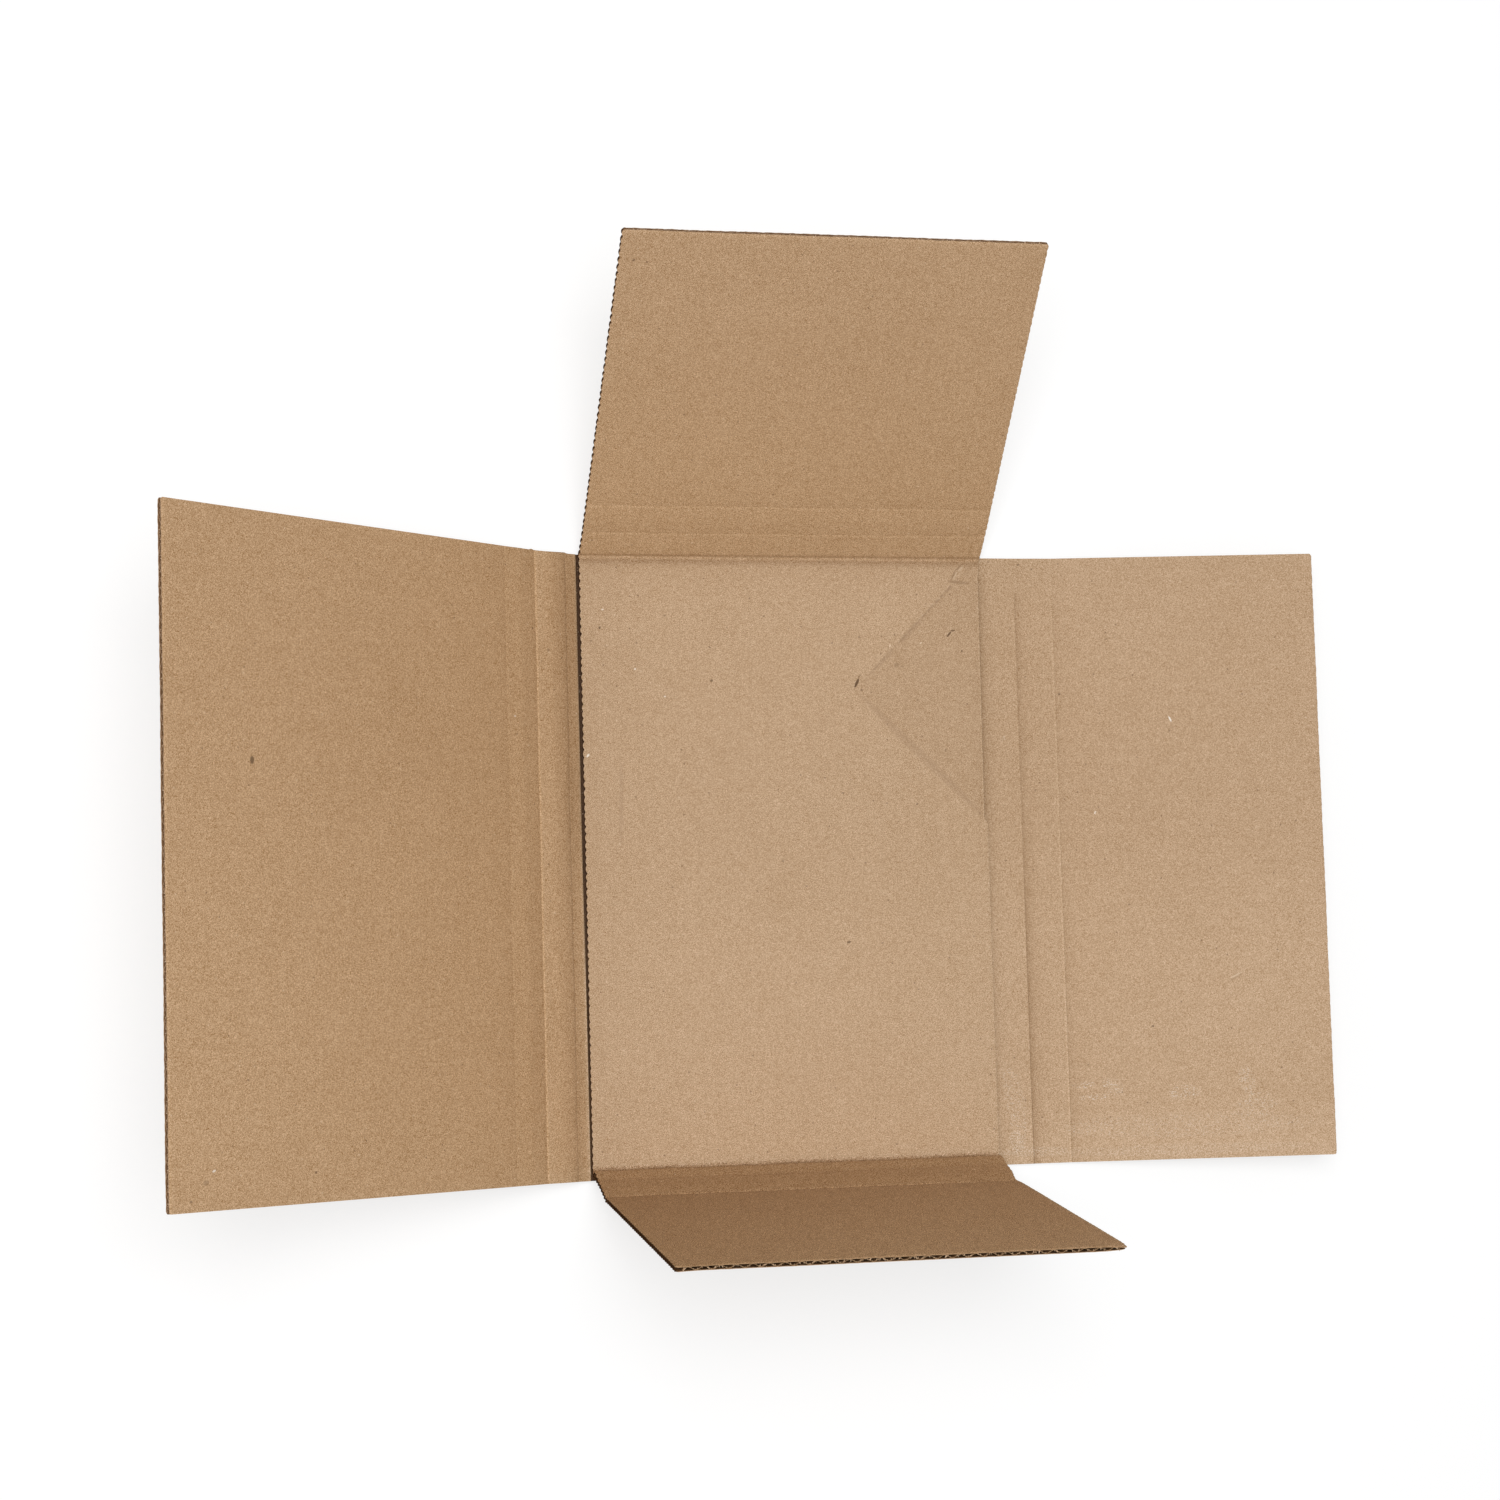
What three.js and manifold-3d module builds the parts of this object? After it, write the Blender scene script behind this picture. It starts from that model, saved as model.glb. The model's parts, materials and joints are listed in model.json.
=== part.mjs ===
// A corrugated mailer for comic books, opened out into a cross and lying on its back.
// Two sheets of B-flute board are glued face to face in the middle. The flutes of the back
// sheet run across and those of the front sheet run up and down, so the glued middle is stiff
// both ways. Each flap folds on two creases: one stands its side wall up, and one lays the flap
// over the contents. A score between the two is there for thinner contents, and the wall is a
// little bent at it.
// Millimetres. +Z is up, +X is right and +Y is the top of the mailer. The origin is the middle
// of the front sheet, on the underside of the back sheet.
import * as THREE from 'three';
import { mergeVertices } from 'three/addons/utils/BufferGeometryUtils.js';
import Module from 'manifold-3d';

// Board
const BOARD_THICKNESS = 2.6;
const LINER_THICKNESS = 0.32;
const FLUTE_PITCH = 6.88;
const CREST_LAND = 0.9;
const CREST_THICKNESS = 0.12;
const GLUE_FILM = 0.1;

// Middle panel of the front sheet, between its creases and its cut edges
const MIDDLE_WIDTH = 197;
const MIDDLE_HEIGHT = 286;

// The back sheet reaches past the folded front sheet, and is glued a little low
const BACK_SHEET_OVERHANG = 0.2;
const BACK_SHEET_DROP = 1.4;

// From the front sheet's cut edges to the back sheet's creases
const LEFT_CREASE_CLEARANCE = 1.4;
const RIGHT_CREASE_CLEARANCE = 1.1;

// Side walls, from the crease at the middle panel to the flap's own crease
const LEFT_WALL_DEPTH = 45;
const RIGHT_WALL_DEPTH = 35.7;
const END_WALL_DEPTH = 29.2;

// Scores across the side walls, from the crease at the middle panel. Each is pressed into the
// inner liner, and squeezes the flutes under it.
const LEFT_SCORE = 26;
const RIGHT_SCORE = 16.2;
const END_SCORE = 14.2;
const SCORE_HALF_WIDTH = 1.6;
const SCORE_DEPTH = 0.6;

// Flaps: the left one covers the whole box, and the two end flaps meet in the middle
const LEFT_FLAP_SPARE = 1.5;
const RIGHT_FLAP_LENGTH = 128.8;
const END_FLAPS_PARTING = 1;
const END_FLAP_STEP = 0.5;

// Angles as the folds hold them, in degrees: the wall up from lying flat, its bend at the
// score, and the flap past the upper part of its wall
const LEFT_WALL_ANGLE = 30.7;
const LEFT_WALL_BEND = 6.1;
const LEFT_FLAP_ANGLE = 0;
const RIGHT_WALL_ANGLE = 0;
const RIGHT_WALL_BEND = 3;
const RIGHT_FLAP_ANGLE = 7.8;
const TOP_WALL_ANGLE = 46.5;
const TOP_WALL_BEND = -4.6;
const TOP_FLAP_ANGLE = 0;
const BOTTOM_WALL_ANGLE = 73.1;
const BOTTOM_WALL_BEND = -6.5;
const BOTTOM_FLAP_ANGLE = 14.5;

// The slit that stands for a pressed crease, and how far the channel cutters overrun a board
const CREASE_SLIT = 0.3;
const CHANNEL_OVERRUN = 1;

// Bare kraft liners, the front sheet's a little paler
const BACK_SHEET_COLOUR = 0xb28c65;
const FRONT_SHEET_COLOUR = 0xbd9a70;
const KRAFT_ROUGHNESS = 0.9;

// What follows from them
const BACK_SHEET_HEIGHT = MIDDLE_HEIGHT + 2 * (BOARD_THICKNESS + BACK_SHEET_OVERHANG);
const BACK_INSIDE_Z = BOARD_THICKNESS;
const FRONT_UNDERSIDE_Z = BOARD_THICKNESS + GLUE_FILM;
const FRONT_INSIDE_Z = FRONT_UNDERSIDE_Z + BOARD_THICKNESS;
const LEFT_CREASE_X = MIDDLE_WIDTH / 2 + LEFT_CREASE_CLEARANCE;
const RIGHT_CREASE_X = MIDDLE_WIDTH / 2 + RIGHT_CREASE_CLEARANCE;
const END_CREASE_Y = MIDDLE_HEIGHT / 2;
const LEFT_FLAP_LENGTH = LEFT_CREASE_X + RIGHT_CREASE_X + BOARD_THICKNESS + LEFT_FLAP_SPARE;
const END_FLAP_LENGTH = (MIDDLE_HEIGHT - END_FLAPS_PARTING) / 2;
const END_FLAP_WIDTH = MIDDLE_WIDTH + 2 * END_FLAP_STEP;

const wasm = await Module();
wasm.setup();

function solidOf(geometry) {
  const bare = geometry.clone();
  bare.deleteAttribute('normal');
  bare.deleteAttribute('uv');
  const merged = mergeVertices(bare);
  const mesh = new wasm.Mesh({
    numProp: 3,
    vertProperties: new Float32Array(merged.attributes.position.array),
    triVerts: new Uint32Array(merged.index.array),
  });
  return new wasm.Manifold(mesh);
}

function geometryOf(solid) {
  const mesh = solid.getMesh();
  const geometry = new THREE.BufferGeometry();
  geometry.setAttribute('position', new THREE.BufferAttribute(mesh.vertProperties, mesh.numProp));
  geometry.setIndex(new THREE.BufferAttribute(mesh.triVerts, 1));
  geometry.computeVertexNormals();
  return geometry;
}

// The outline of one flute channel, drawn across the flutes: a triangle whose base lies along
// one liner and whose apex is a crest of the medium, glued to the other
function channelShape(across, base, apex) {
  const halfBase = (FLUTE_PITCH - CREST_LAND) / 2;
  const shape = new THREE.Shape();
  shape.moveTo(across - halfBase, base);
  shape.lineTo(across + halfBase, base);
  shape.lineTo(across, apex);
  return shape;
}

// Every flute channel of a board, as bars that run out past both of its cut ends. Channels
// under the inner liner alternate with channels over the outer one, half a pitch apart.
function channelGeometry(width, stations) {
  const innerFace = -LINER_THICKNESS;
  const outerFace = LINER_THICKNESS - BOARD_THICKNESS;
  const halfPitches = Math.ceil(width / FLUTE_PITCH);
  const shapes = [];
  for (let step = -halfPitches; step <= halfPitches; step += 1) {
    const across = (step * FLUTE_PITCH) / 2;
    const nearInner = step % 2 === 0;
    const base = nearInner ? innerFace : outerFace;
    const apex = nearInner ? outerFace + CREST_THICKNESS : innerFace - CREST_THICKNESS;
    shapes.push(channelShape(across, base, apex));
  }
  const steps = stations.length - 1;
  const geometry = new THREE.ExtrudeGeometry(shapes, { depth: steps, steps, bevelEnabled: false });
  geometry.rotateX(Math.PI / 2);
  geometry.rotateZ(Math.PI / 2);
  const overrun = stations.slice();
  overrun[0] -= CHANNEL_OVERRUN;
  overrun[steps] += CHANNEL_OVERRUN;
  return moveToStations(geometry, overrun);
}

// Cross sections made at x = 0, 1, 2 and so on move to the given places along the board
function moveToStations(geometry, stations) {
  const positions = geometry.attributes.position;
  for (let index = 0; index < positions.count; index += 1) {
    positions.setX(index, stations[Math.round(positions.getX(index))]);
  }
  return geometry;
}

// Presses the score into the inner face, then turns what lies past it about its line
function foldAtScore(geometry, score) {
  const bend = THREE.MathUtils.degToRad(score.bend);
  const positions = geometry.attributes.position;
  for (let index = 0; index < positions.count; index += 1) {
    const past = positions.getX(index) - score.at;
    const depth = positions.getZ(index);
    if (Math.abs(past) < SCORE_HALF_WIDTH / 2) {
      const squeezed = ((depth + BOARD_THICKNESS) * SCORE_DEPTH) / BOARD_THICKNESS;
      const pressed = depth - squeezed;
      positions.setX(index, score.at - pressed * Math.tan(bend / 2));
      positions.setZ(index, pressed);
    } else if (past > 0) {
      positions.setX(index, score.at + past * Math.cos(bend) - depth * Math.sin(bend));
      positions.setZ(index, past * Math.sin(bend) + depth * Math.cos(bend));
    }
  }
  return geometry;
}

// A rectangle of board. It starts at x = 0 and runs out along its flutes, it is centred on
// y = 0, and its inner face is at z = 0 up to the score, if it has one.
function boardGeometry(length, width, score) {
  const scoreStations = score
    ? [score.at - SCORE_HALF_WIDTH, score.at, score.at + SCORE_HALF_WIDTH]
    : [];
  const stations = [0, ...scoreStations, length];
  const steps = stations.length - 1;
  const slab = new THREE.BoxGeometry(steps, width, BOARD_THICKNESS, steps, 1, 1);
  slab.translate(steps / 2, 0, -BOARD_THICKNESS / 2);
  const parts = [moveToStations(slab, stations), channelGeometry(width, stations)];
  if (score) {
    parts.forEach((part) => foldAtScore(part, score));
  }
  const [board, channels] = parts.map(solidOf);
  return geometryOf(board.subtract(channels));
}

function kraft(color) {
  return new THREE.MeshStandardMaterial({ color, roughness: KRAFT_ROUGHNESS, metalness: 0 });
}

function boardMesh(name, geometry, colour) {
  const mesh = new THREE.Mesh(geometry, kraft(colour));
  mesh.name = name;
  return mesh;
}

// A turned frame whose +X runs outward across one crease
function creaseFrame(outward, angle) {
  const frame = new THREE.Group();
  frame.position.x = outward;
  frame.rotation.y = -THREE.MathUtils.degToRad(angle);
  return frame;
}

// A wall and its flap, folding up from a crease that lies a given distance from the origin
function foldingSide(side) {
  const score = { at: side.score - CREASE_SLIT / 2, bend: side.wallBend };
  const wallShape = boardGeometry(side.wallDepth - CREASE_SLIT, side.wallWidth, score);
  const wall = boardMesh(`${side.name}_wall`, wallShape, side.colour);
  wall.position.x = CREASE_SLIT / 2;
  const flapShape = boardGeometry(side.flapLength - CREASE_SLIT / 2, side.flapWidth);
  const flap = boardMesh(`${side.name}_flap`, flapShape, side.colour);
  flap.position.x = CREASE_SLIT / 2;
  const wallFrame = creaseFrame(side.crease, side.wallAngle);
  wallFrame.position.z = side.insideZ;
  const upperWallFrame = creaseFrame(side.score, side.wallBend);
  const flapFrame = creaseFrame(side.wallDepth - side.score, side.flapAngle);
  flapFrame.add(flap);
  upperWallFrame.add(flapFrame);
  wallFrame.add(wall, upperWallFrame);
  const direction = new THREE.Group();
  direction.rotation.z = side.turn;
  direction.add(wallFrame);
  return direction;
}

// The back sheet: flutes across, creased beside both cut edges of the front sheet
function backSheet() {
  const sheet = new THREE.Group();
  const length = LEFT_CREASE_X + RIGHT_CREASE_X - CREASE_SLIT;
  const panelShape = boardGeometry(length, BACK_SHEET_HEIGHT);
  const panel = boardMesh('back_panel', panelShape, BACK_SHEET_COLOUR);
  panel.position.set(CREASE_SLIT / 2 - LEFT_CREASE_X, 0, BACK_INSIDE_Z);
  const left = foldingSide({
    name: 'left',
    turn: Math.PI,
    crease: LEFT_CREASE_X,
    insideZ: BACK_INSIDE_Z,
    wallDepth: LEFT_WALL_DEPTH,
    wallWidth: BACK_SHEET_HEIGHT,
    wallAngle: LEFT_WALL_ANGLE,
    wallBend: LEFT_WALL_BEND,
    score: LEFT_SCORE,
    flapLength: LEFT_FLAP_LENGTH,
    flapWidth: BACK_SHEET_HEIGHT,
    flapAngle: LEFT_FLAP_ANGLE,
    colour: BACK_SHEET_COLOUR,
  });
  const right = foldingSide({
    name: 'right',
    turn: 0,
    crease: RIGHT_CREASE_X,
    insideZ: BACK_INSIDE_Z,
    wallDepth: RIGHT_WALL_DEPTH,
    wallWidth: BACK_SHEET_HEIGHT,
    wallAngle: RIGHT_WALL_ANGLE,
    wallBend: RIGHT_WALL_BEND,
    score: RIGHT_SCORE,
    flapLength: RIGHT_FLAP_LENGTH,
    flapWidth: BACK_SHEET_HEIGHT,
    flapAngle: RIGHT_FLAP_ANGLE,
    colour: BACK_SHEET_COLOUR,
  });
  sheet.add(panel, left, right);
  sheet.position.y = -BACK_SHEET_DROP;
  return sheet;
}

// The front sheet: flutes up and down, creased at both ends of the middle panel
function frontSheet() {
  const sheet = new THREE.Group();
  const length = MIDDLE_HEIGHT - CREASE_SLIT;
  const panelShape = boardGeometry(length, MIDDLE_WIDTH);
  const panel = boardMesh('front_panel', panelShape, FRONT_SHEET_COLOUR);
  panel.rotation.z = Math.PI / 2;
  panel.position.set(0, -length / 2, FRONT_INSIDE_Z);
  const end = {
    crease: END_CREASE_Y,
    insideZ: FRONT_INSIDE_Z,
    wallDepth: END_WALL_DEPTH,
    score: END_SCORE,
    wallWidth: MIDDLE_WIDTH,
    flapLength: END_FLAP_LENGTH,
    flapWidth: END_FLAP_WIDTH,
    colour: FRONT_SHEET_COLOUR,
  };
  const top = foldingSide({
    ...end,
    name: 'top',
    turn: Math.PI / 2,
    wallAngle: TOP_WALL_ANGLE,
    wallBend: TOP_WALL_BEND,
    flapAngle: TOP_FLAP_ANGLE,
  });
  const bottom = foldingSide({
    ...end,
    name: 'bottom',
    turn: -Math.PI / 2,
    wallAngle: BOTTOM_WALL_ANGLE,
    wallBend: BOTTOM_WALL_BEND,
    flapAngle: BOTTOM_FLAP_ANGLE,
  });
  sheet.add(panel, top, bottom);
  return sheet;
}

const mailer = new THREE.Group();
mailer.add(backSheet(), frontSheet());

export default mailer;
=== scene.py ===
"""A plain kraft corrugated cross mailer, lying open on its back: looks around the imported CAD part."""
import json
import math

import bpy
import numpy as np
from mathutils import Matrix, Vector


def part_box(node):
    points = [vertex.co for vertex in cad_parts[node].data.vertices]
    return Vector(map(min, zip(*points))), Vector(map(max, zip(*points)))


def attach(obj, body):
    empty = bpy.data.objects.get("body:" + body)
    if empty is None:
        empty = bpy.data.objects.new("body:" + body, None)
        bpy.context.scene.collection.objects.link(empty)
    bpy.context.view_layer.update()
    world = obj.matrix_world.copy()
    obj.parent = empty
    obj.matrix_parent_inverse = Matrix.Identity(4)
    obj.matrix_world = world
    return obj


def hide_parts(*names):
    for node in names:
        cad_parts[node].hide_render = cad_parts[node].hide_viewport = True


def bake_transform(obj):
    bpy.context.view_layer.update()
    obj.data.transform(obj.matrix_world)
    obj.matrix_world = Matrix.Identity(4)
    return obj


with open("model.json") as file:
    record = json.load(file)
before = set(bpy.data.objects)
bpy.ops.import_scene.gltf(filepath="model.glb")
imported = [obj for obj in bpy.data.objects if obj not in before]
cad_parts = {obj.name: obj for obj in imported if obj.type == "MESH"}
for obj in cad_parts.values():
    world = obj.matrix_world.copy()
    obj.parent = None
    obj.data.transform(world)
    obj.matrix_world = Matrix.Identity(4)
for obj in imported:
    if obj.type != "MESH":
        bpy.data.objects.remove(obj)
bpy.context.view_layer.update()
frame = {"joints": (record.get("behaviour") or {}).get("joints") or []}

# ---------------------------------------------------------------- sizes, in millimetres and degrees

MM = 0.001
BOARD = 2.6                # thickness of the single-wall board
LINER = 0.32
MEDIUM = 0.22
PITCH = 6.88               # from flute to flute
WAVE = BOARD / 2 - LINER - MEDIUM / 2
WASHBOARD = 0.045          # how far a liner sags between two flute tips
BAND = 2.2                 # half the width of the bend at a hinged crease
SCORE_BAND = 1.4
COLUMNS_A_PITCH = 6
WAVE_COLUMNS_A_PITCH = 10
PLAIN_STEP = 15            # distance between stations where a panel is plain


def pressed_line(press, lip, wander, fade, dark=(0, 1), light=(0, 1), crest_highlight=0.0):
    """A crease's look: depth, raised lip, how it wanders, how far the press fades outward; then the painted shade
    outward and the painted highlight inward, each as amount and reach, and the painted highlight on its crest."""
    return dict(press=press, lip=lip, wander=wander, fade=fade, dark=dark, light=light, crest_highlight=crest_highlight)


# One entry a side. Lines are the base crease, the score and the flap crease, from the middle outward.
SIDES = {
    "left": dict(
        sheet="back", sign=-1, cuts=(26, 45, 248.6), mark=24.8, turns=(30.7, 6.1, 0), bulge=(0.9, 0.35),
        lines=(pressed_line(0.3, 0.0, 0.1, 0.6),
               pressed_line(0.32, 0.03, 0.1, 3.0, dark=(0.12, 2.2), light=(0.13, 2.8)),
               pressed_line(0.08, 0.0, 0.2, 3.0, dark=(0.055, 4), light=(0.03, 3)))),
    "right": dict(
        sheet="back", sign=1, cuts=(16.2, 35.7, 164.5), mark=16.8, turns=(0, 3, 7.8), bulge=(0.0, 0.0),
        lines=(pressed_line(0.10, 0.0, 0.2, 2.5),
               pressed_line(0.62, 0.08, 0.06, 2.6, dark=(0.25, 3.2)),
               pressed_line(0.5, 0.12, 0.06, 2.6, dark=(0.11, 3.8), crest_highlight=0.15))),
    "top": dict(
        sheet="front", sign=1, cuts=(14.2, 29.2, 171.7), mark=14.2, turns=(46.5, -4.6, 0), bulge=(0.2, 0.15),
        lines=(pressed_line(0.42, 0.0, 0.3, 1.6, dark=(0.02, 2.5)),
               pressed_line(0.18, 0.01, 0.2, 2.4, dark=(0.06, 9), light=(0.02, 6)),
               pressed_line(0.16, 0.01, 0.2, 2.4, dark=(0.03, 5), light=(0.03, 5)))),
    "bottom": dict(
        sheet="front", sign=-1, cuts=(14.2, 29.2, 171.7), mark=14.2, turns=(73.1, -6.5, 14.5), bulge=(0.2, 0.2),
        lines=(pressed_line(0.7, 0.0, 0.5, 1.2, dark=(0.04, 2)),
               pressed_line(0.05, 0.0, 0.3, 2.4),
               pressed_line(0.24, 0.03, 0.2, 2.0, dark=(0.02, 3), crest_highlight=0.05))),
}


def joint_point(name):
    """Where a crease's hinge lies, in millimetres."""
    return [joint for joint in frame["joints"] if joint["name"] == name][0]["pos_m"]


def box_mm(node):
    low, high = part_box(node)
    return np.array(low) / MM, np.array(high) / MM


BACK_LOW, BACK_HIGH = box_mm("back_panel")
FRONT_LOW, FRONT_HIGH = box_mm("front_panel")

SHEETS = {
    "back": dict(
        width=BACK_HIGH[1] - BACK_LOW[1], middle=(BACK_HIGH[1] + BACK_LOW[1]) / 2,
        face=joint_point("right_wall_crease")[2] / MM,
        creases={1: joint_point("right_wall_crease")[0] / MM, -1: -joint_point("left_wall_crease")[0] / MM},
        serrated=False, fibre_seed=0.0,
    ),
    "front": dict(
        width=FRONT_HIGH[0] - FRONT_LOW[0], middle=0.0,
        face=joint_point("top_wall_crease")[2] / MM,
        creases={1: joint_point("top_wall_crease")[1] / MM, -1: -joint_point("bottom_wall_crease")[1] / MM},
        serrated=True, fibre_seed=900.0,
    ),
}

# ---------------------------------------------------------------- small helpers


def smooth(t):
    t = np.clip(t, 0, 1)
    return t * t * (3 - 2 * t)


def waver(x, seed, length):
    """A smooth, irregular line between about -1 and 1 that repeats nowhere near."""
    x = np.asarray(x, float) / length
    parts = [np.sin(x * k * 2.4 + seed * (3.7 + k)) / (1 + i * 0.6) for i, k in enumerate((1, 2.31, 4.17, 7.73))]
    return sum(parts) / 1.9


def gauss(x, width):
    return np.exp(-(x / width) ** 2)


def segment_distance(x, y, start, end):
    """Distance from a straight stroke and the share of the way along it."""
    start, end = np.array(start, float), np.array(end, float)
    way = end - start
    share = np.clip(((x - start[0]) * way[0] + (y - start[1]) * way[1]) / (way @ way), 0, 1)
    return np.hypot(x - start[0] - share * way[0], y - start[1] - share * way[1]), share


# ---------------------------------------------------------------- relief pressed into the sheets

CORNER_TIP = (34.1, 80.1)          # a square corner has been pressed into the middle panel
CORNER_TOP = (96.3, 143.1)
CORNER_LOW = (98.4, 17.3)
CORNER_DEPTH = 0.32


def pressed_corner(x, y):
    """Depth of the square corner's print in the middle panel, and of its two edges."""
    tip, top, low = (np.array(p) for p in (CORNER_TIP, CORNER_TOP, CORNER_LOW))
    along_top, along_low = (top - tip) / np.hypot(*(top - tip)), (low - tip) / np.hypot(*(low - tip))
    inside_top = (x - tip[0]) * along_top[1] - (y - tip[1]) * along_top[0]
    inside_low = -(x - tip[0]) * along_low[1] + (y - tip[1]) * along_low[0]
    inside = np.minimum(inside_top, inside_low)
    flat = CORNER_DEPTH * smooth((inside + 1.2) / 3.2) * smooth((104 - x) / 8)
    from_low, share_low = segment_distance(x, y, CORNER_TIP, CORNER_LOW)
    from_top, share_top = segment_distance(x, y, CORNER_TIP, CORNER_TOP)
    strokes = 0.16 * gauss(from_low, 1.5) * (0.7 + 0.3 * waver(share_low, 3.1, 0.2))
    strokes = strokes + 0.12 * gauss(from_top, 1.1) * (0.6 + 0.4 * waver(share_top, 1.3, 0.09))
    tip_pit = 0.35 * gauss(np.hypot(x - tip[0] - 1.0, y - tip[1] - 1.5), 2.6)
    return flat + strokes + tip_pit


def ridge_relief(distance, across, line, seed):
    """A line that stands up as a ridge, with the board sagging away from it outward."""
    shifted = distance - line["wander"] * waver(across, seed, 31)
    outward = np.maximum(shifted, 0)
    fade = line["fade"]
    sag = (1 - np.exp(-outward / fade)) * np.exp(-outward / 9) + 0.3 * (1 - np.exp(-outward / 0.3)) * np.exp(-outward / 3)
    return line["press"] * sag - line["lip"] * gauss(shifted + 0.2, 0.4)


def crease_relief(distance, across, line, seed):
    """Depth of a pressed line: steep on the side of the middle panel, fading outward."""
    wander = line["wander"]
    shifted = distance - wander * waver(across, seed, 31) - 0.12 * wander * waver(across, seed + 5, 3.3)
    strength = line["press"] * (1 + 0.14 * waver(across, seed + 2, 13))
    outward = np.maximum(shifted, 0)
    near = np.where(shifted < 0, gauss(shifted, 0.55), np.exp(-outward / 0.75))
    tail = np.where(shifted < 0, gauss(shifted, 0.55), np.exp(-outward / line["fade"]))
    return strength * (0.6 * near + 0.4 * tail) - line["lip"] * gauss(shifted + 0.75, 0.42)


def line_strength(name, count, across):
    """The right side's two lines are pressed less at their upper end and most at the lower."""
    if name != "right" or count == 0:
        return 1.0
    return (0.25 + 0.75 * smooth((131 - across) / 5)) * (0.85 + 0.5 * smooth((30 - across) / 100))


def slot_shift(across):
    """The slot beside the left fold gets narrower towards its lower end."""
    return 0.45 * smooth((20 - across) / 120)


def bead(name, out, across):
    """The roll of liner that a fold pushes up just outside its crease."""
    height, start, crest, end = {
        "left": (1.2, -0.9, 0.15, 6.3), "bottom": (1.85, 0.6, 2.9, 13.0),
        "top": (0.25, 0.4, 1.8, 8.0), "right": (0.0, 0.0, 1.0, 2.0),
    }[name]
    if name == "left":
        out = out + slot_shift(across)
    swell = 1 + 0.10 * waver(across, 4.4, 26) + 0.05 * waver(across, 7.4, 6)
    return height * swell * smooth((out - start) / (crest - start)) * (1 - smooth((out - crest) / (end - crest)) ** 0.7)


def relief(sheet, along, across):
    """How far the inner face is pressed down and the outer face in, at a place of the flat sheet."""
    width = SHEETS[sheet]["width"]
    inner = np.zeros(np.broadcast(along, across).shape)
    outer = np.zeros_like(inner)
    for number, (name, side) in enumerate(SIDES.items()):
        if side["sheet"] != sheet:
            continue
        out = side["sign"] * along - SHEETS[sheet]["creases"][side["sign"]]
        places = (0.0, side["mark"], side["cuts"][1])
        for count, (place, line) in enumerate(zip(places, side["lines"])):
            shape = ridge_relief if name == "right" else crease_relief
            pressed = shape(out - place, across, line, 1.7 * number + 0.9 * count)
            inner = inner + pressed * line_strength(name, count, across)
            if count and name != "right":
                outer = outer - 0.3 * line["press"] * gauss(out - place, 1.3)
        if name == "left":
            outer = outer + 0.07 * gauss(out + 0.8, 1.8)
        inner = inner - bead(name, out, across)
        if name == "left":
            inner = inner + 0.20 * gauss(out - 6.3 - 0.3 * waver(across, 8.2, 60), 0.5)
            inner = inner + 0.08 * gauss(out - 3.1 - 0.2 * waver(across, 9.2, 40), 0.4)
        end = side["cuts"][2] - out
        inner = inner + 0.24 * gauss(np.maximum(end, 0), 0.9)
        outer = outer + 0.20 * gauss(np.maximum(end, 0), 0.9)
    edge = np.maximum(width / 2 - abs(across), 0)
    inner = inner + 0.20 * gauss(edge, 1.0)
    outer = outer + 0.16 * gauss(edge, 1.0)
    if sheet == "front":
        x, y = -across, along
        middle = smooth((142.5 - abs(y)) / 2)
        inner = inner + pressed_corner(x, y) * middle
        inner = inner + corner_nick(x, y) * middle
        line, share = segment_distance(x, y, (-79.8, 59.5), (-81.8, -3.1))
        inner = inner + 0.2 * gauss(line, 1.5) * middle
    return np.clip(inner, -2.2, 1.7), np.clip(outer, -0.5, 0.6)


def corner_nick(x, y):
    """A small flattened patch at the middle panel's upper right corner."""
    low = smooth((y - 133.2) / 1.2)
    left = smooth(((x - 83.6) * 0.82 - (y - 133.3) * 0.57) / 1.2)
    return 0.35 * low * left * smooth((98 - x) / 3)


def warp(sheet, along, across):
    """Slow unevenness of a panel and the bulge of the strips between two creases."""
    lift = 0.09 * (1 + np.clip(waver(along + 0.6 * across, 1.1, 95) * waver(across, 4.1, 80), -1, 1))
    near = np.zeros_like(lift)
    for side in SIDES.values():
        if side["sheet"] != sheet:
            continue
        out = side["sign"] * along - SHEETS[sheet]["creases"][side["sign"]]
        places = (0.0, side["cuts"][0], side["cuts"][1])
        for place in places:
            near = np.maximum(near, gauss(out - place, 9))
        for start, end, bulge in zip(places, places[1:], side["bulge"]):
            share = np.clip((out - start) / (end - start), 0, 1)
            lift = lift + bulge * np.sin(np.pi * share ** 0.8) ** 2 * (1 + near)
    middle = smooth((SHEETS[sheet]["creases"][1] - 6 - abs(along)) / 12)
    return lift * (1 - near) * (1 - middle)


# Painted shade by side, for how each side faces the light, warmer as well as darker: at the base and at the free end,
# as a share of the plain kraft colour.
SHADE_POWERS = (0.82, 1.0, 1.25)       # painted shade turns warmer as it darkens, as do the other changes in the same factor
TORN_TONE = 1.35                       # torn fibres are paler than the liner's surface
SIDE_PAINTED_SHADE = {
    "left": ((0.983, 0.907, 0.79), (1.007, 0.946, 0.86)),
    "right": ((0.98, 0.97, 0.97), (0.993, 0.985, 0.99)),
    "top": ((1.01, 0.955, 0.86), (0.985, 0.942, 0.885)),
    "bottom": ((0.731, 0.640, 0.515), (0.779, 0.690, 0.556)),
}


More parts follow.
